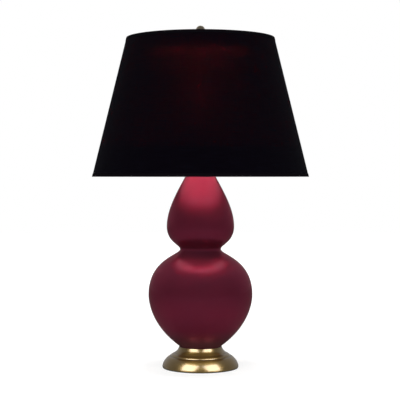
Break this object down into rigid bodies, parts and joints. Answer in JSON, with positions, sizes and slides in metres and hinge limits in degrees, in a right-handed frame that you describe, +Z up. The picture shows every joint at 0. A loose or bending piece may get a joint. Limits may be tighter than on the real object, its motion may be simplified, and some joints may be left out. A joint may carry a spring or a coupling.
{
  "type": "table lamp",
  "caption": "Table lamp: glazed double gourd body on a stepped brass base, screw lampholder, harp and tapered drum shade held by a ball finial.",
  "frame": {"origin": "middle of the felt foot's underside, on the table", "axes": "+Z up along the lamp's rod; -Y towards the front, where the switch knob points; +Y towards the back, where the cord inlet is; +X to the right seen from the front"},
  "size_m": [0.4825, 0.4826, 0.7621],
  "materials": {
    "felt": "dark green baize",
    "antique_brass": "antique satin",
    "lacquered_brass": "lacquered satin",
    "finial_brass": "dull antique satin",
    "cast_iron": "as cast, blackened",
    "zinc_steel": "zinc plated",
    "bushing_rubber": "matt",
    "glaze": "glossy oxblood glaze",
    "liner_card": "fish paper",
    "moulded_black": "moulded",
    "rolled_aluminium": "rolled",
    "lead_sheath": "brown sheath",
    "clear_glass": "clear",
    "frosted_glass": "frosted white",
    "shade_fabric": "black slub weave",
    "shade_tape": "black woven tape",
    "shade_lining": "warm white"
  },
  "bodies": {
    "lamp": {"felt_pad": "felt", "base_shell": "antique_brass", "base_weight": "cast_iron", "base_washer": "zinc_steel", "base_lock_washer": "zinc_steel", "base_nut": "lacquered_brass", "cord_bushing": "bushing_rubber", "seat_gasket": "bushing_rubber", "gourd_body": "glaze", "centre_rod": "zinc_steel", "neck_cap": "antique_brass", "neck_spool": "antique_brass", "socket_cap": "lacquered_brass", "cap_set_screw": "zinc_steel", "socket_liner": "liner_card", "socket_shell": "lacquered_brass", "switch_block": "moulded_black", "terminal_screws": "lacquered_brass", "screw_shell": "rolled_aluminium", "centre_contact": "lacquered_brass", "ring_contact": "lacquered_brass", "inner_lead": "lead_sheath", "lead_tails": "lead_sheath", "harp_saddle": "lacquered_brass", "harp_bow": "lacquered_brass"},
    "switch": {"switch_shaft": "lacquered_brass", "switch_knob": "moulded_black"},
    "left_sleeve": {"harp_sleeve_left": "lacquered_brass"},
    "right_sleeve": {"harp_sleeve_right": "lacquered_brass"},
    "bulb_mount": {"bulb_stem": "clear_glass", "bulb_filaments": "zinc_steel"},
    "bulb": {"bulb_glass": "frosted_glass", "bulb_cap": "rolled_aluminium", "bulb_gland": "moulded_black", "bulb_contacts": "zinc_steel"},
    "shade": {"harp_stud": "lacquered_brass", "spider_washer": "lacquered_brass", "spider_arms": "lacquered_brass", "shade_top_ring": "lacquered_brass", "shade_bottom_ring": "lacquered_brass", "shade_cover": "shade_fabric", "shade_liner": "shade_lining", "shade_top_tape": "shade_tape", "shade_bottom_tape": "shade_tape"},
    "finial_base": {"finial_base": "finial_brass"},
    "finial_ball": {"finial_ball": "finial_brass"}
  },
  "joints": [
    {"name": "switch_turn", "type": "hinge", "parent": "lamp", "child": "switch", "pos_m": [0, -0.024, 0.5038], "axis": [0, -1, 0], "continuous": true},
    {"name": "left_sleeve_lift", "type": "slide", "parent": "lamp", "child": "left_sleeve", "axis": [0, 0, 1], "range_m": [0, 0.016]},
    {"name": "right_sleeve_lift", "type": "slide", "parent": "lamp", "child": "right_sleeve", "axis": [0, 0, 1], "range_m": [0, 0.016]},
    {"name": "bulb_rise", "type": "slide", "parent": "lamp", "child": "bulb_mount", "axis": [0, 0, 1], "range_m": [0, 0.01451]},
    {"name": "bulb_turn", "type": "hinge", "parent": "bulb_mount", "child": "bulb", "pos_m": [0, 0, 0.54], "axis": [0, 0, 1], "range_deg": [0, 1440]},
    {"name": "shade_turn", "type": "hinge", "parent": "lamp", "child": "shade", "pos_m": [0, 0, 0.718], "axis": [0, 0, 1], "continuous": true},
    {"name": "finial_rise", "type": "slide", "parent": "shade", "child": "finial_base", "axis": [0, 0, 1], "range_m": [0, 0.00846]},
    {"name": "finial_turn", "type": "hinge", "parent": "finial_base", "child": "finial_ball", "pos_m": [0, 0, 0.745], "axis": [0, 0, 1], "range_deg": [0, 3240]}
  ],
  "couplings": [
    {"joint": "bulb_turn", "follows": "bulb_rise", "rad_per_m": 1731.4},
    {"joint": "finial_turn", "follows": "finial_rise", "rad_per_m": 6679.3}
  ]
}
